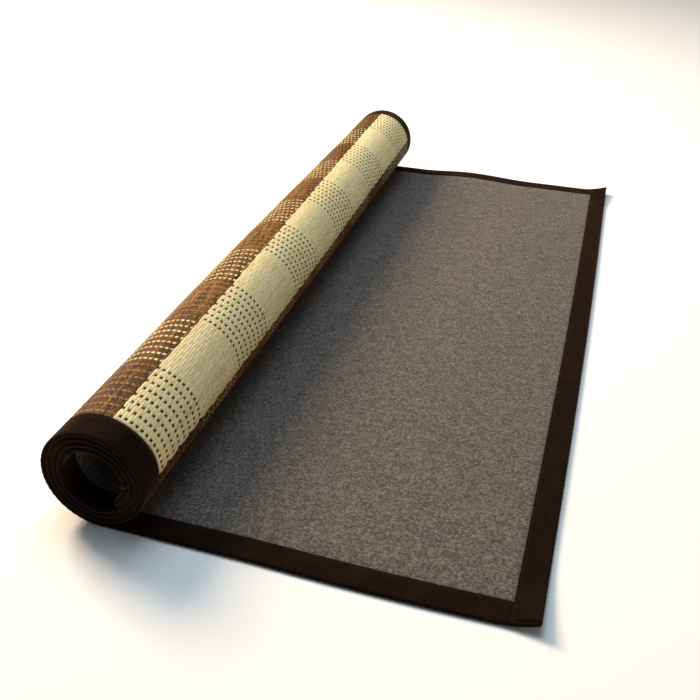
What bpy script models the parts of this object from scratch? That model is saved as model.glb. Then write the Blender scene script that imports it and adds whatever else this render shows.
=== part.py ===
"""Woven rug with a felt back and a cloth binding, one end rolled up over itself.

The rug lies face down: the felt is on top of the flat run, and the woven face
is outermost on the roll. Every piece is made flat and is then carried along
the rolled path.

A flat point is (along, across, rise): along the rug from its free end, across
it from one long edge, and rise from the woven side towards the felt side,
with zero where the two panels meet.
"""
import math

import bmesh
import bpy
import numpy
from mathutils import Vector

# Driving sizes, in metres.
RUG_WIDTH = 1.200
RUG_LENGTH = 1.664
CLEARANCE = 0.0004

# Thicknesses. The panels are pressed thinner where the binding grips them.
BINDING_THICKNESS = 0.0010
WOVEN_THICKNESS = 0.0026
WOVEN_PRESSED = 0.0016
FELT_THICKNESS = 0.0022
FELT_PRESSED = 0.0012
PANEL_GAP = 0.0004
STACK_HALF = 0.0030

# Widths of the binding on each face, and the rounding of its edges.
BINDING_ON_FELT = 0.0300
BINDING_ON_WEAVE = 0.0345
END_BINDING_WIDTH = 0.0300
EDGE_ROUND_IN = 0.0022
EDGE_ROUND_UP = 0.0013
CORNER_RADIUS = 0.0050
CORNER_STEPS = 3
PRESSED_SLOPE = 0.0014

# The roll: outer radius where it leaves the floor, and the step of each turn.
FLAT_RUN = 0.4735
ROLL_RADIUS = 0.0642
TURN_PITCH = 0.0064
ROLL_SKEW = 0.0060
FACETS_PER_TURN = 30

# The innermost turn is loose: it draws in past the even spiral.
LOOSE_FROM_TURNS = 3.40
LOOSE_UNTIL_TURNS = 4.15
LOOSE_DRAW_IN = 0.0030

# The flat run is a little uneven: both free corners curl up, the far edge has
# one low buckle, the free end bows out and the near edge wanders.
CURL_ALONG = 0.045
CURL_ACROSS = 0.110
CURL_FIRST_RISE = 0.0060
CURL_SECOND_RISE = 0.0100
BUCKLE_ALONG = 0.280
BUCKLE_TIP_ACROSS = 0.760
END_BOW = 0.0040
END_BOW_REACH = 0.300
EDGE_WANDER = 0.0022
EDGE_WANDER_ALONG = 0.150

# Height of the buckle at the far edge, by the distance along from its ridge.
BUCKLE_OFFSETS = (-0.130, -0.060, 0.000, 0.055, 0.100)
BUCKLE_HEIGHTS = (0.0000, 0.0032, 0.0050, 0.0030, 0.0000)

# Cuts across the flat run, where the bow and the wander bend the rug.
FLAT_CUTS_ALONG = (0.045, 0.090, 0.150, 0.210, 0.300, 0.380)
FLAT_CUTS_ACROSS = (0.100, 0.300, 0.600, 0.900, 1.100)

BINDING_COLOUR = (0.026, 0.012, 0.009)
WOVEN_COLOUR = (0.42, 0.32, 0.17)
FELT_COLOUR = (0.19, 0.16, 0.13)


def eased(value):
    """Rise smoothly from 0 to 1 as value goes from 0 to 1."""
    value = min(max(value, 0.0), 1.0)
    return value * value * (3.0 - 2.0 * value)


def path_radius(angle):
    """Distance from the roll's axis to the plane where the panels meet."""
    turns = angle / math.tau
    loose = (turns - LOOSE_FROM_TURNS) / (LOOSE_UNTIL_TURNS - LOOSE_FROM_TURNS)
    spiral = ROLL_RADIUS - STACK_HALF - TURN_PITCH * turns
    return spiral - LOOSE_DRAW_IN * eased(loose)


def measure_path():
    """Arc length of the rolled path at one-degree steps of its angle."""
    angles = numpy.radians(numpy.arange(0.0, 360.0 * 5.0, 1.0))
    radii = numpy.array([path_radius(angle) for angle in angles])
    steps = numpy.hypot(numpy.diff(radii), 0.5 * (radii[1:] + radii[:-1]) * numpy.diff(angles))
    lengths = numpy.concatenate(([0.0], numpy.cumsum(steps)))
    return angles, lengths


PATH_ANGLES, PATH_LENGTHS = measure_path()


def path_angle(along):
    """Angle round the roll reached at a distance along the rug."""
    return float(numpy.interp(along - FLAT_RUN, PATH_LENGTHS, PATH_ANGLES))


def roll_cuts():
    """Distances along the rug at which the roll turns from facet to facet."""
    facet = math.tau / FACETS_PER_TURN
    cuts = []
    angle = 0.0
    while True:
        along = FLAT_RUN + float(numpy.interp(angle, PATH_ANGLES, PATH_LENGTHS))
        if along > RUG_LENGTH:
            return cuts
        cuts.append(along)
        angle += facet


def corner_curl(along, across):
    """Rise of a free corner, in two creases that run over it at a slant."""
    reach = 1.0 - along / CURL_ALONG - across / CURL_ACROSS
    return CURL_FIRST_RISE * max(0.0, reach) + CURL_SECOND_RISE * max(0.0, reach - 0.5)


def edge_buckle(along, across):
    """Rise of the far edge's buckle, a fan of flat facets from one tip."""
    spread = (across - BUCKLE_TIP_ACROSS) / (RUG_WIDTH - BUCKLE_TIP_ACROSS)
    if spread <= 0.0:
        return 0.0
    offset = (along - BUCKLE_ALONG) / spread
    return spread * float(numpy.interp(offset, BUCKLE_OFFSETS, BUCKLE_HEIGHTS, left=0.0, right=0.0))


def carried(along, across, rise):
    """Place of a flat point on the rug as it lies: flat run first, then roll."""
    run = FLAT_RUN + ROLL_SKEW * across / RUG_WIDTH
    if along > FLAT_RUN:
        angle = path_angle(along)
        radius = path_radius(angle) - rise
        x = -run - radius * math.sin(angle)
        z = ROLL_RADIUS - radius * math.cos(angle)
        return Vector((x, across, z))
    bow = END_BOW * math.sin(math.pi * min(max(across / RUG_WIDTH, 0.0), 1.0))
    x = -along * run / FLAT_RUN + bow * max(0.0, 1.0 - along / END_BOW_REACH)
    bend = math.cos(0.5 * math.pi * min(1.0, abs(along / EDGE_WANDER_ALONG - 1.0)))
    y = across - EDGE_WANDER * bend * (1.0 - across / RUG_WIDTH)
    lift = corner_curl(along, across) + corner_curl(along, RUG_WIDTH - across)
    lift += edge_buckle(along, across)
    return Vector((x, y, STACK_HALF + rise + lift))


def cut(mesh, point, normal, until_along=None):
    """Cut faces along a plane, over the flat run only where a limit is given."""
    faces = mesh.faces
    if until_along is not None:
        faces = [face for face in mesh.faces
                 if max(vertex.co.x for vertex in face.verts) < until_along + CLEARANCE]
    geometry = set(faces)
    for face in faces:
        geometry.update(face.edges)
        geometry.update(face.verts)
    bmesh.ops.bisect_plane(mesh, geom=list(geometry), dist=1e-6, plane_co=point, plane_no=normal)


def cut_along(mesh, distances):
    """Cut a flat piece straight across at each distance that it reaches."""
    low = min(vertex.co.x for vertex in mesh.verts)
    high = max(vertex.co.x for vertex in mesh.verts)
    for distance in distances:
        if low + CLEARANCE < distance < high - CLEARANCE:
            cut(mesh, (distance, 0.0, 0.0), (1.0, 0.0, 0.0))


def cut_flat_run(mesh):
    """Cut the flat run along the creases of its curled corners and buckle."""
    for share in (0.5, 1.0):
        across = share * CURL_ACROSS
        slant = (1.0 / CURL_ALONG, 1.0 / CURL_ACROSS, 0.0)
        cut(mesh, (0.0, across, 0.0), slant, FLAT_RUN)
        slant = (1.0 / CURL_ALONG, -1.0 / CURL_ACROSS, 0.0)
        cut(mesh, (0.0, RUG_WIDTH - across, 0.0), slant, FLAT_RUN)
    tip = (BUCKLE_ALONG, BUCKLE_TIP_ACROSS, 0.0)
    for offset in BUCKLE_OFFSETS:
        side = (RUG_WIDTH - BUCKLE_TIP_ACROSS, -offset, 0.0)
        cut(mesh, tip, side, FLAT_RUN)


def put_in_place(mesh, name, collection, material):
    """Carry a flat mesh along the path and make it an object."""
    for vertex in mesh.verts:
        vertex.co = carried(*vertex.co)
    bmesh.ops.triangulate(mesh, faces=mesh.faces)
    bmesh.ops.recalc_face_normals(mesh, faces=mesh.faces)
    data = bpy.data.meshes.new(name)
    mesh.to_mesh(data)
    mesh.free()
    data.materials.append(material)
    item = bpy.data.objects.new(name, data)
    collection.objects.link(item)
    return item


def flat_box(lowest, highest):
    """Box between two flat points."""
    mesh = bmesh.new()
    bmesh.ops.create_cube(mesh, size=1.0)
    middle = 0.5 * (Vector(lowest) + Vector(highest))
    size = Vector(highest) - Vector(lowest)
    bmesh.ops.scale(mesh, vec=size, verts=mesh.verts)
    bmesh.ops.translate(mesh, vec=middle, verts=mesh.verts)
    return mesh


def upright_edges(mesh):
    """Edges of a flat box that stand along the rise."""
    return [edge for edge in mesh.edges
            if abs(edge.verts[0].co.z - edge.verts[1].co.z) > CLEARANCE]


def make_panel(name, rise_from, rise_to, pressed_to, binding_width, collection, material):
    """Panel that meets its neighbour at rise_from and thins to pressed_to under the binding."""
    inset = BINDING_THICKNESS + CLEARANCE
    low = (inset, inset, min(rise_from, pressed_to))
    high = (RUG_LENGTH - inset, RUG_WIDTH - inset, max(rise_from, pressed_to))
    mesh = flat_box(low, high)
    bmesh.ops.bevel(mesh, geom=upright_edges(mesh), offset=CORNER_RADIUS - inset,
                    segments=CORNER_STEPS, profile=0.5, affect='EDGES')
    end_edge = END_BINDING_WIDTH + CLEARANCE
    side_edge = binding_width + CLEARANCE
    end_lines = (end_edge, end_edge + PRESSED_SLOPE)
    side_lines = (side_edge, side_edge + PRESSED_SLOPE)
    cut_along(mesh, end_lines)
    cut_along(mesh, [RUG_LENGTH - line for line in end_lines])
    for line in side_lines:
        cut(mesh, (0.0, line, 0.0), (0.0, 1.0, 0.0))
        cut(mesh, (0.0, RUG_WIDTH - line, 0.0), (0.0, 1.0, 0.0))
    for vertex in mesh.verts:
        from_end = min(vertex.co.x, RUG_LENGTH - vertex.co.x)
        from_side = min(vertex.co.y, RUG_WIDTH - vertex.co.y)
        in_field = from_end > end_lines[1] - CLEARANCE and from_side > side_lines[1] - CLEARANCE
        if in_field and abs(vertex.co.z - pressed_to) < 1e-5:
            vertex.co.z = rise_to
    cut_along(mesh, [FLAT_RUN])
    for across in FLAT_CUTS_ACROSS:
        cut(mesh, (0.0, across, 0.0), (0.0, 1.0, 0.0), FLAT_RUN)
    cut_flat_run(mesh)
    cut_along(mesh, FLAT_CUTS_ALONG)
    cut_along(mesh, roll_cuts())
    return put_in_place(mesh, name, collection, material)


def side_profile():
    """Outline of a long edge's binding as (across, rise) points, a U that grips the panels."""
    inner = STACK_HALF - BINDING_THICKNESS
    return [
        (BINDING_ON_WEAVE, -STACK_HALF),
        (EDGE_ROUND_IN, -STACK_HALF),
        (0.0, -EDGE_ROUND_UP),
        (0.0, EDGE_ROUND_UP),
        (EDGE_ROUND_IN, STACK_HALF),
        (BINDING_ON_FELT, STACK_HALF),
        (BINDING_ON_FELT, inner),
        (BINDING_THICKNESS, inner),
        (BINDING_THICKNESS, -inner),
        (BINDING_ON_WEAVE, -inner),
    ]


def make_side_binding(name, far_side, collection, material):
    """Binding along one long edge, between the two end bindings."""
    start = END_BINDING_WIDTH + CLEARANCE
    length = RUG_LENGTH - 2.0 * start
    mesh = bmesh.new()
    points = side_profile()
    if far_side:
        points = [(RUG_WIDTH - across, rise) for across, rise in points]
    corners = [mesh.verts.new((start, across, rise)) for across, rise in points]
    outline = mesh.faces.new(corners)
    grown = bmesh.ops.extrude_face_region(mesh, geom=[outline])
    moved = [part for part in grown['geom'] if isinstance(part, bmesh.types.BMVert)]
    bmesh.ops.translate(mesh, vec=(length, 0.0, 0.0), verts=moved)
    cut_along(mesh, [FLAT_RUN])
    cut_flat_run(mesh)
    cut_along(mesh, FLAT_CUTS_ALONG)
    cut_along(mesh, roll_cuts())
    return put_in_place(mesh, name, collection, material)


def make_end_binding(name, inner_end, collection, material):
    """Binding over one short end: a flat sleeve closed at both corners."""
    mesh = flat_box((0.0, 0.0, -STACK_HALF), (END_BINDING_WIDTH, RUG_WIDTH, STACK_HALF))
    corners = [edge for edge in upright_edges(mesh) if edge.verts[0].co.x < CLEARANCE]
    bmesh.ops.bevel(mesh, geom=corners, offset=CORNER_RADIUS, segments=CORNER_STEPS,
                    profile=0.5, affect='EDGES')
    mouth = [face for face in mesh.faces
             if min(vertex.co.x for vertex in face.verts) > END_BINDING_WIDTH - CLEARANCE]
    bmesh.ops.delete(mesh, geom=mouth, context='FACES_ONLY')
    sleeve = close_sleeve(mesh)
    round_sleeve(sleeve)
    if inner_end:
        for vertex in sleeve.verts:
            vertex.co.x = RUG_LENGTH - vertex.co.x
        cut_along(sleeve, roll_cuts())
    else:
        cut_flat_run(sleeve)
        for across in FLAT_CUTS_ACROSS:
            cut(sleeve, (0.0, across, 0.0), (0.0, 1.0, 0.0))
    return put_in_place(sleeve, name, collection, material)


def close_sleeve(mesh):
    """Give an open sleeve its wall, inwards, and return it as one closed mesh."""
    bmesh.ops.recalc_face_normals(mesh, faces=mesh.faces)
    data = bpy.data.meshes.new('sleeve')
    mesh.to_mesh(data)
    mesh.free()
    item = bpy.data.objects.new('sleeve', data)
    bpy.context.scene.collection.objects.link(item)
    wall = item.modifiers.new('wall', 'SOLIDIFY')
    wall.thickness = BINDING_THICKNESS
    wall.offset = -1.0
    wall.use_even_offset = True
    wall.use_rim = True
    bpy.context.view_layer.update()
    view = bpy.context.evaluated_depsgraph_get()
    closed = bmesh.new()
    closed.from_mesh(item.evaluated_get(view).to_mesh())
    bpy.data.objects.remove(item)
    bpy.data.meshes.remove(data)
    return closed


def round_sleeve(mesh):
    """Slope the outer rim of the closed sleeve as the long bindings' edges are."""
    rim = []
    for edge in mesh.edges:
        first, second = edge.verts
        flat = abs(first.co.z - second.co.z) < 1e-6 and abs(abs(first.co.z) - STACK_HALF) < 1e-5
        upright = [face for face in edge.link_faces if abs(face.normal.z) < 0.5]
        at_mouth = min(first.co.x, second.co.x) > END_BINDING_WIDTH - 1e-5
        if flat and upright and not at_mouth:
            rim.append(edge)
    bmesh.ops.bevel(mesh, geom=rim, offset=STACK_HALF - EDGE_ROUND_UP, segments=1,
                    profile=0.5, affect='EDGES')


def finish(name, colour, roughness):
    """Plain cloth or felt finish."""
    material = bpy.data.materials.new(name)
    material.use_nodes = True
    shader = material.node_tree.nodes['Principled BSDF']
    shader.inputs['Base Color'].default_value = (*colour, 1.0)
    shader.inputs['Roughness'].default_value = roughness
    shader.inputs['Metallic'].default_value = 0.0
    return material


def stand_on_origin(pieces, collection):
    """Hang the pieces on one empty that puts the middle of their footprint at the origin."""
    corners = [vertex.co for piece in pieces for vertex in piece.data.vertices]
    low_x = min(corner.x for corner in corners)
    high_x = max(corner.x for corner in corners)
    low_y = min(corner.y for corner in corners)
    high_y = max(corner.y for corner in corners)
    base = bpy.data.objects.new('rug_base', None)
    base.location = (-0.5 * (low_x + high_x), -0.5 * (low_y + high_y), 0.0)
    collection.objects.link(base)
    for piece in pieces:
        piece.parent = base


def main():
    for item in list(bpy.data.objects):
        bpy.data.objects.remove(item)
    collection = bpy.data.collections.new('woven_rug')
    bpy.context.scene.collection.children.link(collection)
    woven = finish('woven_rattan', WOVEN_COLOUR, 0.55)
    felt = finish('grey_felt', FELT_COLOUR, 0.95)
    binding = finish('binding_cloth', BINDING_COLOUR, 0.80)
    pieces = [
        make_panel('woven_panel', 0.0, -WOVEN_THICKNESS, -WOVEN_PRESSED,
                   BINDING_ON_WEAVE, collection, woven),
        make_panel('felt_backing', PANEL_GAP, PANEL_GAP + FELT_THICKNESS, PANEL_GAP + FELT_PRESSED,
                   BINDING_ON_FELT, collection, felt),
        make_side_binding('binding_near', False, collection, binding),
        make_side_binding('binding_far', True, collection, binding),
        make_end_binding('binding_free_end', False, collection, binding),
        make_end_binding('binding_inner_end', True, collection, binding),
    ]
    stand_on_origin(pieces, collection)


main()
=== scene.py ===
import math

import bmesh
import bpy
import numpy as np
from mathutils import Matrix, Vector


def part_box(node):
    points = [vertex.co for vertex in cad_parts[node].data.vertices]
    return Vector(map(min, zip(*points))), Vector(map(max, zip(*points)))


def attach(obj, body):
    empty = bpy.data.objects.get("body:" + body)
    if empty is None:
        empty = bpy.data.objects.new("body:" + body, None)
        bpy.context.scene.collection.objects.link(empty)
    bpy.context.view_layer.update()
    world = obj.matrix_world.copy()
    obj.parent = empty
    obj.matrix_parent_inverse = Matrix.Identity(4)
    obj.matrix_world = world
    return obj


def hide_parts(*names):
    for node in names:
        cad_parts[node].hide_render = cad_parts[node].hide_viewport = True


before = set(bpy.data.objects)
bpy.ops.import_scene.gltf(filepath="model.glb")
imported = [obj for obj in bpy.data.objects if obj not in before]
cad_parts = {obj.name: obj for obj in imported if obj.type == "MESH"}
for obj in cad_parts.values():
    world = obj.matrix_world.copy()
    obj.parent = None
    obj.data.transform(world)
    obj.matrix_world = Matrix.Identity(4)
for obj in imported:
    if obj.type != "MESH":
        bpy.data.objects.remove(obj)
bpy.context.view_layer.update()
print("frame loaded:", ", ".join(sorted(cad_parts)))

# How the whole rug lies, in metres. Each piece is made flat and carried along this path.
# A flat point is (along, across, rise): along from the free end, across from the near
# edge, and rise from the woven side towards the felt side.
rug = {
    "width": 1.200,
    "length": 1.664,
    "halfThick": 0.0030,        # from the plane where the two panels meet to the binding's face
    "flatRun": 0.4735,
    "rollRadius": 0.0642,
    "turnPitch": 0.0064,
    "rollSkew": 0.0060,
    "looseFromTurns": 3.40,
    "looseUntilTurns": 4.15,
    "looseDrawIn": 0.0030,
    "rollSwell": 0.0026,        # the outer turn stands off a little in the middle of its length
    "swellTip": 0.39,           # shares of the width: where it stands off most, and how it fades
    "swellFade": 0.55,
    "swellStarts": (0.4, 1.5),  # radians round the roll: from where, and over how much
    "swellStops": (3.2, 1.6),
    "endBow": 0.0040,
    "endBowReach": 0.300,
    "edgeWander": 0.0026,
    "edgeWanderAlong": 0.150,
    "curlAlong": 0.048,
    "curlAcross": 0.116,
    "curlRise": 0.0105,
    "curlPower": 1.9,
    "buckleAlong": 0.280,
    "buckleTipAcross": 0.760,
    "buckleRise": 0.0052,
    "buckleBefore": 0.130,
    "buckleAfter": 0.105,
    "bucklePower": 1.2,
    "turnsMeasured": 5.0,       # more than the roll has
}

# the rug's near corner at the free end, from the frame's own boxes
rugCorner = np.array((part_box("binding_free_end")[1].x - rug["endBow"],
                      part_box("binding_inner_end")[0].y, 0.0))


def eased(value):
    value = np.clip(value, 0.0, 1.0)
    return value * value * (3.0 - 2.0 * value)


def pathRadius(angle):
    turns = angle / math.tau
    loose = (turns - rug["looseFromTurns"]) / (rug["looseUntilTurns"] - rug["looseFromTurns"])
    spiral = rug["rollRadius"] - rug["halfThick"] - rug["turnPitch"] * turns
    return spiral - rug["looseDrawIn"] * eased(loose)


# how far along the path each degree of the roll is
pathAngles = np.radians(np.arange(0.0, 360.0 * rug["turnsMeasured"], 1.0))
pathRadii = pathRadius(pathAngles)
middleRadii = 0.5 * (pathRadii[1:] + pathRadii[:-1])
pathSteps = np.hypot(np.diff(pathRadii), middleRadii * np.diff(pathAngles))
pathLengths = np.concatenate(((0.0,), np.cumsum(pathSteps)))


def alongAtAngle(degrees):
    return rug["flatRun"] + float(np.interp(math.radians(degrees), pathAngles, pathLengths))


def liftOf(along, across):
    # both free corners curl up, and the far edge has one low buckle
    lift = np.zeros_like(along)
    for fromSide in (across, rug["width"] - across):
        reach = 1.0 - along / rug["curlAlong"] - fromSide / rug["curlAcross"]
        lift += rug["curlRise"] * np.clip(reach, 0.0, None) ** rug["curlPower"]
    spread = (across - rug["buckleTipAcross"]) / (rug["width"] - rug["buckleTipAcross"])
    spread = np.clip(spread, 1e-6, None)
    offset = (along - rug["buckleAlong"]) / spread
    offset = np.where(offset < 0.0, offset / rug["buckleBefore"], offset / rug["buckleAfter"])
    wave = np.cos(0.5 * math.pi * np.clip(offset, -1.0, 1.0)) ** 2
    return lift + rug["buckleRise"] * spread ** rug["bucklePower"] * wave


def layOut(flat):
    # flat places to places on the rug as it lies
    along, across, rise = flat.T
    share = across / rug["width"]
    run = rug["flatRun"] + rug["rollSkew"] * share
    angle = np.interp(along - rug["flatRun"], pathLengths, pathAngles)
    (starts, startsOver), (stops, stopsOver) = rug["swellStarts"], rug["swellStops"]
    swell = eased(share / rug["swellTip"])
    swell = swell * (1.0 - eased((share - rug["swellTip"]) / rug["swellFade"]))
    swell = swell * eased((angle - starts) / startsOver) * (1.0 - eased((angle - stops) / stopsOver))
    radius = pathRadius(angle) - rise + rug["rollSwell"] * swell
    rolled = np.stack((-run - radius * np.sin(angle), across,
                       rug["rollRadius"] - radius * np.cos(angle)), 1)
    bow = rug["endBow"] * np.sin(math.pi * np.clip(share, 0.0, 1.0))
    bow = bow * np.clip(1.0 - along / rug["endBowReach"], 0.0, None)
    bend = np.abs(along / rug["edgeWanderAlong"] - 1.0)
    bend = np.cos(0.5 * math.pi * np.clip(bend, 0.0, 1.0))
    lying = np.stack((-along * run / rug["flatRun"] + bow,
                      across - rug["edgeWander"] * bend * (1.0 - share),
                      rug["halfThick"] + rise + liftOf(along, across)), 1)
    return np.where((along > rug["flatRun"])[:, None], rolled, lying) + rugCorner


def linear(code):
    # sRGB hex to a linear colour
    values = [int(code[place:place + 2], 16) / 255.0 for place in (1, 3, 5)]
    return tuple(v / 12.92 if v <= 0.04045 else ((v + 0.055) / 1.055) ** 2.4 for v in values) + (1.0,)


def addNode(tree, kind, links=None, **settings):
    # adds a node, sets its inputs or its own settings by name, and links its inputs
    node = tree.nodes.new(kind)
    for name, value in settings.items():
        label = name.replace("_", " ")
        if hasattr(node, name):
            setattr(node, name, value)
        else:
            node.inputs[label].default_value = value
    for name, source in (links or {}).items():
        tree.links.new(source, node.inputs[name])
    return node


def newMaterial(name):
    material = bpy.data.materials.new(name)
    material.use_nodes = True
    return material, material.node_tree.nodes["Principled BSDF"]


def spaced(low, high, step):
    return list(np.linspace(low, high, max(2, round((high - low) / step) + 1)))


def gridMesh(rows, columns):
    # a grid whose vertices hold their row and column numbers
    grid = bmesh.new()
    bmesh.ops.create_grid(grid, x_segments=rows - 1, y_segments=columns - 1, size=1.0)
    for vertex in grid.verts:
        vertex.co.x = round((vertex.co.x + 1.0) * 0.5 * (rows - 1))
        vertex.co.y = round((vertex.co.y + 1.0) * 0.5 * (columns - 1))
    return grid


def toMesh(grid, name):
    mesh = bpy.data.meshes.new(name)
    grid.to_mesh(mesh)
    grid.free()
    return mesh


def pointsOf(mesh):
    points = np.zeros(len(mesh.vertices) * 3, np.float32)
    mesh.vertices.foreach_get("co", points)
    return points.reshape(-1, 3).astype(float)


def gridOver(name, rowStops, columnStops):
    # a mesh with one point for each pair of stops, and the two stops of each point
    mesh = toMesh(gridMesh(len(rowStops), len(columnStops)), name)
    numbers = pointsOf(mesh).round().astype(int)
    return mesh, np.array(rowStops)[numbers[:, 0]], np.array(columnStops)[numbers[:, 1]]


def carry(mesh, flat):
    # keeps each point's flat place for the materials, and lays the mesh on the path
    kept = mesh.attributes.new("flatPlace", "FLOAT_VECTOR", "POINT")
    kept.data.foreach_set("vector", flat.astype(np.float32).ravel())
    mesh.vertices.foreach_set("co", layOut(flat).astype(np.float32).ravel())
    mesh.update()


def keepTone(mesh, tones):
    kept = mesh.attributes.new("tone", "FLOAT", "POINT")
    kept.data.foreach_set("value", np.asarray(tones, np.float32))


def newPiece(mesh, material):
    piece = bpy.data.objects.new(mesh.name, mesh)
    bpy.context.scene.collection.objects.link(piece)
    mesh.materials.append(material)
    mesh.shade_smooth()
    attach(piece, "root")
    return piece


def giveWall(piece, thickness, group=""):
    wall = piece.modifiers.new("wall", "SOLIDIFY")
    wall.thickness = thickness
    wall.offset = -1.0
    wall.use_rim = True
    wall.vertex_group = group


view = {
    "place": (0.2459, -1.1923, 0.6640),
    "azimuth": 16.26,           # turned left from straight across the rug
    "pitch": 31.75,             # down from level
    "roll": -1.37,
    "lens": 44.63,
    "sensor": 36.0,
    "clip": (0.01, 60.0),
}


def makeCamera():
    azimuth, pitch, roll = (math.radians(view[name]) for name in ("azimuth", "pitch", "roll"))
    ahead = Vector((-math.sin(azimuth) * math.cos(pitch),
                    math.cos(azimuth) * math.cos(pitch),
                    -math.sin(pitch)))
    level = Vector((math.cos(azimuth), math.sin(azimuth), 0.0))
    down = ahead.cross(level)
    right = level * math.cos(roll) + down * math.sin(roll)
    up = level * math.sin(roll) - down * math.cos(roll)
    lens = bpy.data.cameras.new("camera")
    lens.lens = view["lens"]
    lens.sensor_width = view["sensor"]
    lens.clip_start, lens.clip_end = view["clip"]
    camera = bpy.data.objects.new("camera", lens)
    turned = Matrix((right, up, -ahead)).transposed().to_4x4()
    camera.matrix_world = Matrix.Translation(view["place"]) @ turned
    bpy.context.scene.collection.objects.link(camera)
    bpy.context.scene.camera = camera


# a low warm key from the left, a large cool light from above, and a weak low fill
light = {
    "keyPlace": (-2.65, 1.10, 2.08),
    "keySize": 1.35,
    "keyPower": 204.0,
    "keyColour": "#ffe6c6",
    "topPlace": (-0.60, 0.70, 3.00),
    "topSize": 2.60,
    "topPower": 66.0,
    "topColour": "#daeefd",
    "fillPlace": (2.40, -0.70, 0.70),
    "fillSize": 1.40,
    "fillPower": 8.0,
    "fillColour": "#ffe9c8",
    "skyColour": "#daeefd",
    "skyStrength": 0.13,
    "floorColour": "#fbfaf8",
    "floorSize": 6.4,
}


def makeLight():
    for name in ("key", "top", "fill"):
        lamp = bpy.data.lights.new(name + "Light", "AREA")
        lamp.shape = "SQUARE"
        lamp.size = light[name + "Size"]
        lamp.energy = light[name + "Power"]
        lamp.color = linear(light[name + "Colour"])[:3]
        holder = bpy.data.objects.new(name + "Light", lamp)
        holder.location = light[name + "Place"]
        holder.rotation_mode = "QUATERNION"
        holder.rotation_quaternion = (-Vector(light[name + "Place"])).to_track_quat("-Z", "Y")
        bpy.context.scene.collection.objects.link(holder)
    # the backdrop is plain white, and gives a weaker, cooler light than it shows
    world = bpy.data.worlds.new("studio")
    world.use_nodes = True
    tree = world.node_tree
    tree.nodes.clear()
    fill = addNode(tree, "ShaderNodeBackground", Color=linear(light["skyColour"]),
                   Strength=light["skyStrength"])
    plain = addNode(tree, "ShaderNodeBackground", Color=linear("#ffffff"), Strength=1.0)
    path = addNode(tree, "ShaderNodeLightPath")
    mixed = addNode(tree, "ShaderNodeMixShader",
                    {0: path.outputs["Is Camera Ray"], 1: fill.outputs[0], 2: plain.outputs[0]})
    addNode(tree, "ShaderNodeOutputWorld", {"Surface": mixed.outputs[0]})
    bpy.context.scene.world = world
    bpy.context.scene.view_settings.view_transform = "Standard"


def makeFloor():
    grid = bmesh.new()
    bmesh.ops.create_grid(grid, x_segments=1, y_segments=1, size=0.5 * light["floorSize"])
    mesh = toMesh(grid, "floor")
    # emulsion paint, rolled on: matt and nearly white
    material, shader = newMaterial("mattPaintFloor")
    shader.inputs["Base Color"].default_value = linear(light["floorColour"])
    shader.inputs["Roughness"].default_value = 0.9
    shader.inputs["Specular IOR Level"].default_value = 0.1
    mesh.materials.append(material)
    floor = bpy.data.objects.new("floor", mesh)
    bpy.context.scene.collection.objects.link(floor)


makeCamera()
makeLight()
makeFloor()
print("camera, light and floor made")


felt = {
    "inset": 0.0014,            # its cut edge lies this far inside the bound edge
    "top": 0.0026,
    "pressedTop": 0.0019,       # under the binding
    "thickness": 0.0015,
    "pressSlope": 0.0022,
    "bindingWidth": 0.0300,
    "endBindingWidth": 0.0300,
    "stepAlong": 0.0070,
    "stepAcross": 0.0240,
    "clumpMm": 3.3,             # clumps of light and dark fibres
    "fibreMm": 1.2,             # strands of them, since single fibres are too fine to show
    "patchMm": 11.76,
    "fibreShare": 0.34,
    "patchShare": 0.16,
    "shades": ("#443f3b", "#5e5651", "#7b736b"),
    "shadeStops": (0.40, 0.50, 0.61),
    "fuzzRise": 0.0006,
}


def feltFinish():
    # needle-punched polyester felt: matt, heathered in small clumps, with a short fuzz
    material, shader = newMaterial("needleFelt")
    tree = material.node_tree
    place = addNode(tree, "ShaderNodeAttribute", attribute_name="flatPlace").outputs["Vector"]
    clumps = addNode(tree, "ShaderNodeTexNoise", {"Vector": place}, Scale=1000.0 / felt["clumpMm"],
                     Detail=2.0, Roughness=0.6, Distortion=0.3)
    fibres = addNode(tree, "ShaderNodeTexNoise", {"Vector": place}, Scale=1000.0 / felt["fibreMm"],
                     Detail=2.0, Roughness=0.6, Distortion=0.8)
    patches = addNode(tree, "ShaderNodeTexNoise", {"Vector": place}, Scale=1000.0 / felt["patchMm"],
                      Detail=2.0)
    both = addNode(tree, "ShaderNodeMix", {2: clumps.outputs["Fac"], 3: fibres.outputs["Fac"]})
    both.inputs[0].default_value = felt["fibreShare"]
    more = addNode(tree, "ShaderNodeMix", {2: both.outputs[0], 3: patches.outputs["Fac"]})
    more.inputs[0].default_value = felt["patchShare"]
    ramp = addNode(tree, "ShaderNodeValToRGB", {"Fac": more.outputs[0]})
    stops = ramp.color_ramp.elements
    stops[0].position, middle, stops[1].position = felt["shadeStops"]
    stops.new(middle)
    for stop, shade in zip(stops, felt["shades"]):
        stop.color = linear(shade)
    bump = addNode(tree, "ShaderNodeBump", {"Height": both.outputs[0]}, Strength=0.7,
                   Distance=felt["fuzzRise"])
    tree.links.new(ramp.outputs["Color"], shader.inputs["Base Color"])
    tree.links.new(bump.outputs["Normal"], shader.inputs["Normal"])
    shader.inputs["Roughness"].default_value = 0.95
    shader.inputs["Specular IOR Level"].default_value = 0.12
    shader.inputs["Sheen Weight"].default_value = 0.10
    shader.inputs["Sheen Roughness"].default_value = 0.5
    return material


def edgeStops(length, inset, width, slope, step):
    # grid lines over one direction, closer where the binding's edge presses the panel
    low = [inset, 0.5 * width, width - slope, width, width + 0.5 * slope, width + slope]
    high = [length - stop for stop in reversed(low)]
    return low + spaced(low[-1], high[0], step)[1:-1] + high


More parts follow.
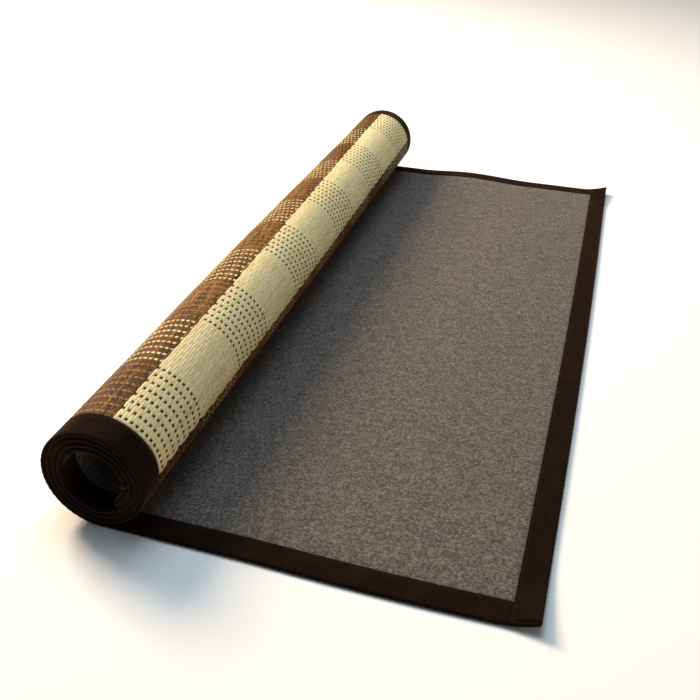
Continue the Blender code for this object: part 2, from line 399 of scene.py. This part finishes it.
def panelSheet(name):
    # a grid over the whole panel, with the flat along and across place of each point
    inset, slope = felt["inset"], felt["pressSlope"]
    alongStops = edgeStops(rug["length"], inset, felt["endBindingWidth"], slope, felt["stepAlong"])
    acrossStops = edgeStops(rug["width"], inset, felt["bindingWidth"], slope, felt["stepAcross"])
    return gridOver(name, alongStops, acrossStops)


def pressedRise(along, across):
    # the felt's face: low under the binding, high in the open
    low, high = felt["pressedTop"], felt["top"]
    fromEdge = np.minimum(np.minimum(across, rug["width"] - across) - felt["bindingWidth"],
                          np.minimum(along, rug["length"] - along) - felt["endBindingWidth"])
    return low + (high - low) * eased(fromEdge / felt["pressSlope"])


def makeFelt():
    mesh, along, across = panelSheet("felt")
    carry(mesh, np.stack((along, across, pressedRise(along, across)), 1))
    mesh.flip_normals()
    piece = newPiece(mesh, feltFinish())
    giveWall(piece, felt["thickness"])
    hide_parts("felt_backing")
    return piece


feltPiece = makeFelt()
print("felt made:", len(feltPiece.data.polygons), "faces")


# weft cords run across the rug, and 88 warps show as dots between them
weave = {
    "warps": 88,
    "warpsPerCheck": 8,
    # the edges of the checks, from the near binding to the far one
    "checkEdges": (0.0370, 0.1445, 0.2485, 0.3545, 0.4610, 0.5640,
                   0.6625, 0.7640, 0.8635, 0.9650, 1.0670, 1.1705),
    "rowPitch": 0.003300,
    "rowsPerBand": 25,
    "creamFromAngle": 192.0,    # where a cream band starts on the outer turn
    "driftBack": 0.0126,        # the rows run this far back towards the far edge
    "driftFrom": 0.30,
    "firstAlong": 0.0310,
    "fineFromAngle": 15.0,      # the outer turn is finely made
    "lastAngle": 363.0,
    "groundTop": -0.0011,
    "groundThick": 0.0009,
    "groundColour": "#5c4830",
    "pressedTo": -0.0019,       # under the binding
    "pressedBeyond": 0.001,
    # real cords wander a little: waves of (size, per metre across, per metre along, start)
    "wander": 0.00035,
    "wanderAlong": ((1.0, 41.0, 9.0, 0.0), (0.6, 97.0, -23.0, 1.3)),
    "wanderAcross": ((1.0, 12.0, 53.0, 0.0), (0.6, 0.0, 131.0, 0.7)),
    # how much tones differ from cord to cord, along a cord, and from dot to dot
    "cordTone": 0.03,
    "stretchTone": 0.05,
    "dotTone": 0.10,
    # painted shade: each cord is darker along its edges, where it meets the next row
    "paintedEdgeShade": {"cream": 0.03, "brown": 0.14},     # a cord is darker along its edges
    "paintedEdgeShadeFrom": 0.25,
    "paintedEdgeShadeOver": 0.2,
    # painted shade: brown cords and warps are darker towards the long edges, by warp number, where
    # less light falls on them
    "paintedSideShade": {0: -0.08, 7: -0.08, 12: 0.0, 60: 0.0, 70: -0.08, 88: -0.08},
    "seed": 11,
}

# shades from dark to light, and the streaks' slant to the cord and their length
rattan = {
    "rattanCream": {"shades": ("#d1ba7e", "#f3dfa9", "#f9ecc4"), "contrast": 0.26,
                    "roughness": 0.60, "slant": 18.0, "streakMm": 4.0},
    "rattanBrown": {"shades": ("#38230d", "#744a25", "#ae7e43"), "contrast": 0.16,
                    "roughness": 0.55, "slant": 18.0, "streakMm": 1.4},
    "rattanCreamWarp": {"shades": ("#c0ab72", "#e2cf98", "#f5e6ac"), "contrast": 0.30,
                        "roughness": 0.50, "slant": 90.0, "streakMm": 3.0},
    # darker than the brown cords: partly painted shade, for the dots sunk between the cords
    "rattanDarkWarp": {"shades": ("#352812", "#57421f", "#94703d"), "contrast": 0.34,
                       "roughness": 0.50, "slant": 90.0, "streakMm": 3.0},
}

# the grain that all four share
grain = {
    "streakWideMm": 0.6,        # real streaks are finer, too fine to show
    "streakDeepMm": 1.2,
    "blotchMm": 3.03,
    "blotchShare": 0.50,
    "rise": 0.0003,
}

# a weft cord
cord = {
    # rise of its crest and its underside, where it passes over a warp and below one
    "overCrest": -0.00290,
    "overUnder": -0.00195,
    "belowCrest": -0.00190,
    "belowUnder": -0.00125,
    # by distance in warps from the warp that it passes below: how far up it is, and half
    # its width in rows, since it spreads on both sides of the warp that it passes over
    "climb": {0.0: 0.0, 0.14: 0.35, 0.30: 0.85, 0.68: 0.97, 1.0: 1.0},
    "spread": {0.0: 0.29, 0.14: 0.38, 0.30: 0.49, 0.68: 0.56, 1.0: 0.52},
    # where it bends, in warps beside the one it passes below and the one it passes over
    "fineBends": {"dip": (-0.30, -0.14, 0.0, 0.14, 0.30), "crest": (-0.32, 0.0, 0.32)},
    "plainBends": {"dip": (-0.27, 0.0, 0.27), "crest": (0.0,)},
    # cross-section, a warp's too: (side, height) from one edge over the crest to the other
    "fineSection": [(-1.0, 0.62), (-0.45, 1.0), (0.45, 1.0), (1.0, 0.62)],
    "plainSection": [(-1.0, 0.5), (0.0, 1.0), (1.0, 0.5)],
}

# a warp where it shows over a cord: half its width in warps and, in rows from its
# middle, its rise
warpFloat = {
    "halfWidth": 0.150,
    "thick": 0.0008,
    "under": -0.00150,
    "plain": ((-0.60, -0.00175), (0.0, -0.00275), (0.60, -0.00175)),
    "fine": ((-0.60, -0.00175), (-0.26, -0.00274), (0.26, -0.00274), (0.60, -0.00175)),
    "long": ((-0.82, -0.00225), (-0.50, -0.00295), (0.0, -0.00308), (0.50, -0.00295),
             (0.82, -0.00225)),
    # how much lighter it looks, by (cream warp, cream cords); a brown warp gets a painted highlight
    # among brown cords, and its darker shades among cream cords are partly painted shade
    "tone": {(True, True): 0.28, (True, False): -0.04, (False, True): 0.02, (False, False): 0.42},
}


def warpPlace(number):
    # checks differ a little in width
    edges = np.arange(len(weave["checkEdges"])) * weave["warpsPerCheck"]
    return np.interp(number, edges, weave["checkEdges"])


def rowZero():
    # the along place of row 0, the first row of a cream band
    return alongAtAngle(weave["creamFromAngle"])


def wander(waves, across, along):
    sway = sum(size * np.sin(across * perAcross + along * perAlong + start)
               for size, perAcross, perAlong, start in waves)
    return weave["wander"] * sway


def weavePlace(rows, warps, rise):
    # from numbered rows and warps to flat places
    across = warpPlace(warps)
    along = rowZero() + weave["rowPitch"] * rows
    drifted = (across - weave["driftFrom"]) / (rug["width"] - weave["driftFrom"])
    along = along - weave["driftBack"] * eased(drifted)
    along = along + wander(weave["wanderAlong"], across, along)
    across = across + wander(weave["wanderAcross"], across, along)
    # pressed flat where the binding covers it
    nearEdge, farEdge = weave["checkEdges"][0], weave["checkEdges"][-1]
    fromEdge = np.minimum(np.minimum(across - nearEdge, farEdge - across),
                          along - weave["firstAlong"]) + weave["pressedBeyond"]
    pressed = np.maximum(rise, weave["pressedTo"])
    rise = pressed + (rise - pressed) * eased(fromEdge / felt["pressSlope"])
    return np.stack((along, across, rise), 1)


def besideDip(warp, parity, table):
    # reads a table at a warp, by its distance from the nearest one the cord passes below
    fromDip = abs((warp - 0.5 - parity) % 2.0 - 1.0)
    return float(np.interp(fromDip, list(table), list(table.values())))


def cordStops(parity, bends):
    # places in warps at which a cord bends, closer about each dip
    stops = [0.0, float(weave["warps"])]
    for warp in range(weave["warps"]):
        dips = (warp + parity) % 2 == 1
        stops += [warp + 0.5 + side for side in bends["dip" if dips else "crest"]]
    return sorted(stops)


def closeTube(grid, sides):
    # closes a tube along its seam and at both ends, and keeps its flat underside crisp
    bmesh.ops.remove_doubles(grid, verts=grid.verts, dist=1e-5)
    ends = [edge for edge in grid.edges if edge.is_boundary]
    bmesh.ops.holes_fill(grid, edges=ends, sides=sides)
    bmesh.ops.recalc_face_normals(grid, faces=grid.faces)
    for face in grid.faces:
        if face.normal.z > 0.5:
            for edge in face.edges:
                edge.smooth = False


def makeCord(parity, section, bends):
    # one weft cord in numbered rows and warps: a closed flattened tube right across
    loop = section + section[:1]
    stops = cordStops(parity, bends)
    grid = gridMesh(len(loop), len(stops))
    for vertex in grid.verts:
        side, height = loop[round(vertex.co.x)]
        warp = stops[round(vertex.co.y)]
        over = besideDip(warp, parity, cord["climb"])
        crest = cord["belowCrest"] + (cord["overCrest"] - cord["belowCrest"]) * over
        under = cord["belowUnder"] + (cord["overUnder"] - cord["belowUnder"]) * over
        halfWidth = besideDip(warp, parity, cord["spread"])
        vertex.co = (side * halfWidth, warp, 1000.0 * (under + (crest - under) * height))
    closeTube(grid, len(section))
    return toMesh(grid, "cord")


def makeFloat(section, stops):
    # one warp where it shows over a row, lengthwise along the rug
    loop = section + section[:1]
    grid = gridMesh(len(stops), len(loop))
    for vertex in grid.verts:
        place, top = stops[round(vertex.co.x)]
        side, height = loop[round(vertex.co.y)]
        under = min(top + warpFloat["thick"], warpFloat["under"])
        rise = under + (top - under) * height
        vertex.co = (place, side * warpFloat["halfWidth"], 1000.0 * rise)
    closeTube(grid, len(section))
    return toMesh(grid, "float")


def isCreamRow(row):
    return (row // weave["rowsPerBand"]) % 2 == 0


def isCreamWarp(warp):
    return (warp // weave["warpsPerCheck"]) % 2 == 1


def joined(parts, name):
    # parts are (mesh, place): copies of a few small meshes, each set at its place
    grown = bmesh.new()
    shapes = {mesh.name: pointsOf(mesh) for mesh, place in parts}
    for mesh, place in parts:
        mesh.vertices.foreach_set("co", (shapes[mesh.name] + place).astype(np.float32).ravel())
        grown.from_mesh(mesh)
    for mesh in {mesh.name: mesh for mesh, place in parts}.values():
        mesh.vertices.foreach_set("co", shapes[mesh.name].astype(np.float32).ravel())
    return toMesh(grown, name)


def finishWeave(mesh, tones, material):
    numbered = pointsOf(mesh)
    flat = weavePlace(numbered[:, 0], numbered[:, 1], numbered[:, 2] / 1000.0)
    carry(mesh, flat)
    keepTone(mesh, tones)
    return newPiece(mesh, material)


def rattanFinish(name):
    # split rattan core, twisted and steamed flat: satin, with fine streaks along the cord
    look = rattan[name]
    material, shader = newMaterial(name)
    tree = material.node_tree
    place = addNode(tree, "ShaderNodeAttribute", attribute_name="flatPlace").outputs["Vector"]
    tone = addNode(tree, "ShaderNodeAttribute", attribute_name="tone").outputs["Fac"]
    sizes = (grain["streakWideMm"], look["streakMm"], grain["streakDeepMm"])
    turned = addNode(tree, "ShaderNodeMapping", {"Vector": place},
                     Rotation=(0.0, 0.0, math.radians(look["slant"])),
                     Scale=[1000.0 / size for size in sizes])
    streaks = addNode(tree, "ShaderNodeTexNoise", {"Vector": turned.outputs[0]}, Scale=1.0, Detail=2.0,
                      Roughness=0.6)
    blotch = addNode(tree, "ShaderNodeTexNoise", {"Vector": place}, Scale=1000.0 / grain["blotchMm"],
                     Detail=2.0)
    both = addNode(tree, "ShaderNodeMix", {2: streaks.outputs["Fac"], 3: blotch.outputs["Fac"]})
    both.inputs[0].default_value = grain["blotchShare"]
    toned = addNode(tree, "ShaderNodeMath", {0: both.outputs[0], 1: tone}, operation="ADD")
    ramp = addNode(tree, "ShaderNodeValToRGB", {"Fac": toned.outputs[0]})
    stops = ramp.color_ramp.elements
    stops[0].position, stops[1].position = 0.5 - look["contrast"], 0.5 + look["contrast"]
    stops.new(0.5)
    for stop, shade in zip(stops, look["shades"]):
        stop.color = linear(shade)
    bump = addNode(tree, "ShaderNodeBump", {"Height": streaks.outputs["Fac"]}, Strength=0.4,
                   Distance=grain["rise"])
    tree.links.new(ramp.outputs["Color"], shader.inputs["Base Color"])
    tree.links.new(bump.outputs["Normal"], shader.inputs["Normal"])
    shader.inputs["Roughness"].default_value = look["roughness"]
    shader.inputs["Specular IOR Level"].default_value = 0.08
    return material


def groundFinish():
    # open-woven jute net that the cords are glued to: matt, dark in the gaps where it shows
    material, shader = newMaterial("juteGround")
    shader.inputs["Base Color"].default_value = linear(weave["groundColour"])
    shader.inputs["Roughness"].default_value = 0.9
    return material


# painted shade: darker towards the long edges, by warp number
def paintedSideShade(warps):
    return np.interp(warps, list(weave["paintedSideShade"]), list(weave["paintedSideShade"].values()))


def rowAt(along):
    return (along - rowZero()) / weave["rowPitch"]


def makeWefts(name, colour, rows, cords, draws):
    shapes = [(cords[row % 2], (row, 0.0, 0.0)) for row in rows]
    mesh = joined(shapes, name)
    numbered = pointsOf(mesh)
    perRow = len(mesh.vertices) // len(rows)
    tones = np.repeat(draws.normal(0.0, weave["cordTone"], len(rows)), perRow)
    # painted shade along each cord's edges, in the grooves where neighbouring rows meet
    fromMiddle = np.abs(numbered[:, 0] - np.repeat(rows, perRow))
    edgeShadeShare = (fromMiddle - weave["paintedEdgeShadeFrom"]) / weave["paintedEdgeShadeOver"]
    tones -= weave["paintedEdgeShade"][colour] * np.clip(edgeShadeShare, 0.0, 1.0)
    # painted shade on the brown cords towards the long edges
    if colour == "brown":
        tones += paintedSideShade(numbered[:, 1])
    # each stretch of cord between two dips has its own tone
    parities = np.repeat([row % 2 for row in rows], perRow)
    stretch = np.floor((numbered[:, 1] + 1.0 + parities) / 2.0).astype(int)
    table = draws.normal(0.0, weave["stretchTone"], (len(rows), weave["warps"] // 2 + 3))
    tones += table[np.repeat(np.arange(len(rows)), perRow), stretch]
    return mesh, tones


def makeWarps(name, colour, places, dot, longDot, draws):
    # the warps show longer between the thinner brown cords on the roll's left
    shapes = [(longDot if -weave["rowsPerBand"] <= row < 0 else dot, (row, warp + 0.5, 0.0))
              for row, warp in places]
    mesh = joined(shapes, name)
    tones = draws.normal(0.0, weave["dotTone"], len(places))
    # a cream warp is nearly lost among cream cords; a brown warp is lighter among brown cords, a
    # painted highlight on its crest
    tones += [warpFloat["tone"][colour == "cream", isCreamRow(row)] for row, warp in places]
    # painted shade on the brown warps towards the long edges
    if colour == "brown":
        tones += [paintedSideShade(warp) for row, warp in places]
    return mesh, np.repeat(tones, [len(shape.vertices) for shape, place in shapes])


def makeWeave():
    draws = np.random.default_rng(weave["seed"])
    finishes = {name: rattanFinish(name) for name in rattan}
    firstRow = math.ceil(rowAt(weave["firstAlong"]))
    fineRow = math.ceil(rowAt(alongAtAngle(weave["fineFromAngle"])))
    lastRow = math.floor(rowAt(alongAtAngle(weave["lastAngle"])))
    pieces = []
    for part, make, low, high in (("flat", "plain", firstRow, fineRow),
                                  ("roll", "fine", fineRow, lastRow)):
        section = cord[make + "Section"]
        cords = [makeCord(parity, section, cord[make + "Bends"]) for parity in (0, 1)]
        dot = makeFloat(section, warpFloat[make])
        longDot = makeFloat(section, warpFloat["long"]) if make == "fine" else dot
        for colour, finish in (("cream", "rattanCream"), ("brown", "rattanBrown")):
            rows = [row for row in range(low, high) if isCreamRow(row) == (colour == "cream")]
            mesh, tones = makeWefts(f"weft_{colour}_{part}", colour, rows, cords, draws)
            pieces.append(finishWeave(mesh, tones, finishes[finish]))
        for colour, finish in (("cream", "rattanCreamWarp"), ("brown", "rattanDarkWarp")):
            # a warp shows where the cord of that row passes below it
            places = [(row, warp) for row in range(low, high) for warp in range(weave["warps"])
                      if isCreamWarp(warp) == (colour == "cream") and (warp + row) % 2 == 1]
            mesh, tones = makeWarps(f"warp_{colour}_{part}", colour, places, dot, longDot, draws)
            pieces.append(finishWeave(mesh, tones, finishes[finish]))
    return pieces


def makeGround():
    mesh, along, across = panelSheet("weave_ground")
    carry(mesh, np.stack((along, across, np.full(len(along), weave["groundTop"])), 1))
    piece = newPiece(mesh, groundFinish())
    giveWall(piece, weave["groundThick"])
    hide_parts("woven_panel")
    return piece


weavePieces = makeWeave()
for piece in weavePieces:
    print("  ", piece.name, len(piece.data.vertices), "points")
groundPiece = makeGround()
print("weave made")


binding = {
    "onFelt": 0.0300,
    "onWeaveNear": 0.0345,
    "onWeaveFar": 0.0295,
    "atEnds": 0.0300,
    "gap": 0.0004,              # between the end bindings and the long ones
    "thickness": 0.0009,
    "foldDepth": 0.0026,        # how far the folded edge curves in
    "foldedOver": 0.0060,       # the tape that goes round the edge
    "cutEdge": 0.0010,
    "fineUntilAngle": 370.0,    # the turns inside the outer one have longer steps
    "fineStep": 0.0024,
    "insideStep": 0.0060,
    "endStep": 0.0036,
    "pucker": 0.00034,          # the folded edge is drawn in between stitches
    "puckerEvery": 0.0072,
    "puckerWander": 1.7,        # unevenly, in waves per metre
    "sideWaves": 31.0,
    "endWaves": 27.0,
    "puckerUp": 0.6,
    "puckerOnFaces": 0.4,       # how much of it shows on the tape's faces and by the stitches
    "puckerByStitches": 0.2,
    "stitchIn": 0.0028,         # from the binding's cut edge
    "stitchDip": 0.00028,
    "stitchEvery": 0.0036,
    "stitchSize": (0.0031, 0.00062, 0.00042),
    "stitchFromEnds": 0.003,
    "stitchFromSides": 0.004,
    "stitchUntilAngle": 366.0,
    "cornerRadius": 0.0030,
    "cornerStops": (0.0, 0.0001, 0.0004, 0.0009, 0.0016, 0.0026, 0.0037),
    "endProud": 0.00015,
    "shades": ("#150f0c", "#241a14"),
    "shadeStops": (0.35, 0.68),
    "sheenTint": "#9c7561",
    "threadMm": 1.1,            # twice the real threads, which are too fine to show
    "wornMm": 35.71,
    "wornShare": 0.5,
    "threadRise": 0.0003,
    "threadColour": "#33221a",
}


def clothFinish():
    # dark brown cotton twill tape: matt, with a soft sheen at a low angle
    material, shader = newMaterial("cottonTwillTape")
    tree = material.node_tree
    place = addNode(tree, "ShaderNodeAttribute", attribute_name="flatPlace").outputs["Vector"]
    perMetre = 1000.0 / binding["threadMm"]
    stretched = addNode(tree, "ShaderNodeMapping", {"Vector": place}, Scale=(perMetre, perMetre, 1.0))
    threads = addNode(tree, "ShaderNodeTexNoise", {"Vector": stretched.outputs[0]}, Scale=1.0,
                      Detail=3.0, Roughness=0.6)
    worn = addNode(tree, "ShaderNodeTexNoise", {"Vector": place}, Scale=1000.0 / binding["wornMm"],
                   Detail=3.0)
    both = addNode(tree, "ShaderNodeMix", {2: threads.outputs["Fac"], 3: worn.outputs["Fac"]})
    both.inputs[0].default_value = binding["wornShare"]
    ramp = addNode(tree, "ShaderNodeValToRGB", {"Fac": both.outputs[0]})
    stops = ramp.color_ramp.elements
    stops[0].position, stops[1].position = binding["shadeStops"]
    stops[0].color, stops[1].color = [linear(shade) for shade in binding["shades"]]
    bump = addNode(tree, "ShaderNodeBump", {"Height": threads.outputs["Fac"]}, Strength=0.35,
                   Distance=binding["threadRise"])
    tree.links.new(ramp.outputs["Color"], shader.inputs["Base Color"])
    tree.links.new(bump.outputs["Normal"], shader.inputs["Normal"])
    shader.inputs["Roughness"].default_value = 0.9
    shader.inputs["Specular IOR Level"].default_value = 0.0
    shader.inputs["Sheen Weight"].default_value = 0.90
    shader.inputs["Sheen Roughness"].default_value = 0.30
    shader.inputs["Sheen Tint"].default_value = linear(binding["sheenTint"])
    return material


def foldProfile(onWeave, onFelt):
    # (in from the edge, rise, weight of the pucker) from the woven side round to the felt side
    half, depth, cutEdge = rug["halfThick"], binding["foldDepth"], binding["cutEdge"]
    stitch, dip = binding["stitchIn"], binding["stitchDip"]
    onFaces, byStitches = binding["puckerOnFaces"], binding["puckerByStitches"]
    weaveFace = np.linspace(onWeave - 2.0 * stitch, depth, 6)[1:-1]
    feltFace = np.linspace(depth, onFelt - 2.0 * stitch, 6)[1:-1]
    points = [(onWeave, -half, 0.0), (onWeave - cutEdge, -half, 0.0),
              (onWeave - stitch, -half + dip, 0.0), (onWeave - 2.0 * stitch, -half, byStitches)]
    points += [(place, -half, onFaces) for place in weaveFace]
    for angle in np.linspace(-90.0, 90.0, 9):
        turn = math.radians(angle)
        points.append((depth * (1.0 - math.cos(turn)), half * math.sin(turn), 1.0))
    points += [(place, half, onFaces) for place in feltFace]
    points += [(onFelt - 2.0 * stitch, half, byStitches), (onFelt - stitch, half - dip, 0.0),
               (onFelt - cutEdge, half, 0.0), (onFelt, half, 0.0)]
    return points


def puckerOf(place, weight, waves):
    phase = place * math.tau / binding["puckerEvery"]
    phase = phase + binding["puckerWander"] * np.sin(place * waves)
    return binding["pucker"] * weight * (np.sin(phase) - 1.0) * 0.5


def sideStops():
    start = binding["atEnds"] + binding["gap"]
    outer = alongAtAngle(binding["fineUntilAngle"])
    inside = spaced(outer, rug["length"] - start, binding["insideStep"])
    return spaced(start, outer, binding["fineStep"]) + inside[1:]


def makeSideBinding(name, node, farSide, material):
    profile = foldProfile(binding["onWeaveFar" if farSide else "onWeaveNear"], binding["onFelt"])
    mesh, along, folded = gridOver(name, sideStops(), profile)
    inward, rise, weight = folded.T
    pucker = puckerOf(along, weight, binding["sideWaves"])
    inward = inward - pucker
    rise = rise + np.sign(rise) * pucker * binding["puckerUp"]
    across = rug["width"] - inward if farSide else inward
    carry(mesh, np.stack((along, across, rise), 1))
    if not farSide:
        mesh.flip_normals()
    piece = newPiece(mesh, material)
    giveWall(piece, binding["thickness"])
    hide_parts(node)
    return piece


def makeEndBinding(name, node, innerEnd, material):
    profile = foldProfile(binding["atEnds"], binding["atEnds"])
    depth, radius, reach = binding["foldDepth"], binding["cornerRadius"], binding["atEnds"]
    near = [*binding["cornerStops"], radius]
    acrossStops = near + spaced(radius, rug["width"] - radius, binding["endStep"])[1:-1]
    acrossStops += [rug["width"] - stop for stop in reversed(near)]
    mesh, across, folded = gridOver(name, acrossStops, profile)
    inward, rise, weight = folded.T
    fromSide = np.minimum(across, rug["width"] - across)
    # round in plan at both corners, and closed along both sides
    back = np.clip(radius - fromSide, 0.0, radius)
    cornerIn = radius - np.sqrt(np.clip(radius ** 2 - back ** 2, 0.0, None))
    along = cornerIn + inward * (reach - cornerIn) / reach
    closing = np.clip(1.0 - fromSide / depth, 0.0, 1.0)
    height = np.sqrt(np.clip(1.0 - closing ** 2, 0.0, 1.0))
    pucker = puckerOf(across, weight, binding["endWaves"])
    along = along - pucker
    rise = rise * height + np.sign(rise) * pucker * binding["puckerUp"]
    rise = np.where(rise > 0.0, rise + binding["endProud"] * height, rise)
    if innerEnd:
        along = rug["length"] - along
        mesh.flip_normals()
    carry(mesh, np.stack((along, across, rise), 1))
    piece = newPiece(mesh, material)
    group = piece.vertex_groups.new(name="wallShare")
    for number, share in enumerate(height):
        group.add([number], float(share), "REPLACE")
    giveWall(piece, binding["thickness"], "wallShare")
    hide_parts(node)
    return piece


def threadFinish():
    # spun polyester sewing thread, dyed to match the tape: a dull shine, a little lighter
    material, shader = newMaterial("polyesterThread")
    shader.inputs["Base Color"].default_value = linear(binding["threadColour"])
    shader.inputs["Roughness"].default_value = 0.7
    shader.inputs["Specular IOR Level"].default_value = 0.2
    return material


def makeStitches(name, lines, material):
    # lines are (start, end, sideways place, rise, turned): one row of small stitches each
    length, width, height = binding["stitchSize"]
    stitches = []
    for size in ((length, width, height), (width, length, height)):
        grown = bmesh.new()
        bmesh.ops.create_icosphere(grown, subdivisions=1, radius=0.5)
        bmesh.ops.scale(grown, vec=size, verts=grown.verts)
        stitches.append(toMesh(grown, "stitch"))
    parts = []
    for start, end, sideways, rise, turned in lines:
        for place in np.arange(start, end, binding["stitchEvery"]):
            spot = (sideways, place, rise) if turned else (place, sideways, rise)
            parts.append((stitches[turned], spot))
    mesh = joined(parts, name)
    carry(mesh, pointsOf(mesh))
    return newPiece(mesh, material)


def stitchLines():
    # each line runs through both layers of the tape, close to its cut edges
    edge, rise = binding["stitchIn"], rug["halfThick"] - binding["stitchDip"]
    low, run = binding["atEnds"] + binding["stitchFromEnds"], rug["flatRun"]
    nearWeave, farWeave = binding["onWeaveNear"] - edge, rug["width"] - binding["onWeaveFar"] + edge
    nearFelt, farFelt = binding["onFelt"] - edge, rug["width"] - binding["onFelt"] + edge
    outer = alongAtAngle(binding["stitchUntilAngle"])
    freeIn, innerIn = binding["atEnds"] - edge, rug["length"] - binding["atEnds"] + edge
    across = (binding["stitchFromSides"], rug["width"] - binding["stitchFromSides"])
    top = rise + binding["endProud"]
    return {
        "stitches_near": [(low, run, nearFelt, rise, False), (low, outer, nearWeave, -rise, False)],
        "stitches_far": [(low, run, farFelt, rise, False), (low, outer, farWeave, -rise, False)],
        "stitches_free_end": [(*across, freeIn, top, True), (*across, freeIn, -rise, True)],
        "stitches_inner_end": [(*across, innerIn, top, True), (*across, innerIn, -rise, True)],
    }


cloth = clothFinish()
bindingPieces = [
    makeSideBinding("binding_near_cloth", "binding_near", False, cloth),
    makeSideBinding("binding_far_cloth", "binding_far", True, cloth),
    makeEndBinding("binding_free_end_cloth", "binding_free_end", False, cloth),
    makeEndBinding("binding_inner_end_cloth", "binding_inner_end", True, cloth),
]
print("bindings made")

thread = threadFinish()
stitchPieces = [makeStitches(name, lines, thread) for name, lines in stitchLines().items()]
print("stitches made")

# what each piece of cloth was cut to
sideLength = rug["length"] - 2.0 * (binding["atEnds"] + binding["gap"])
cuts = [(onWeave + binding["onFelt"] + binding["foldedOver"], sideLength)
        for onWeave in (binding["onWeaveNear"], binding["onWeaveFar"])]
cuts += [(2.0 * binding["atEnds"] + binding["foldedOver"], rug["width"])] * 2
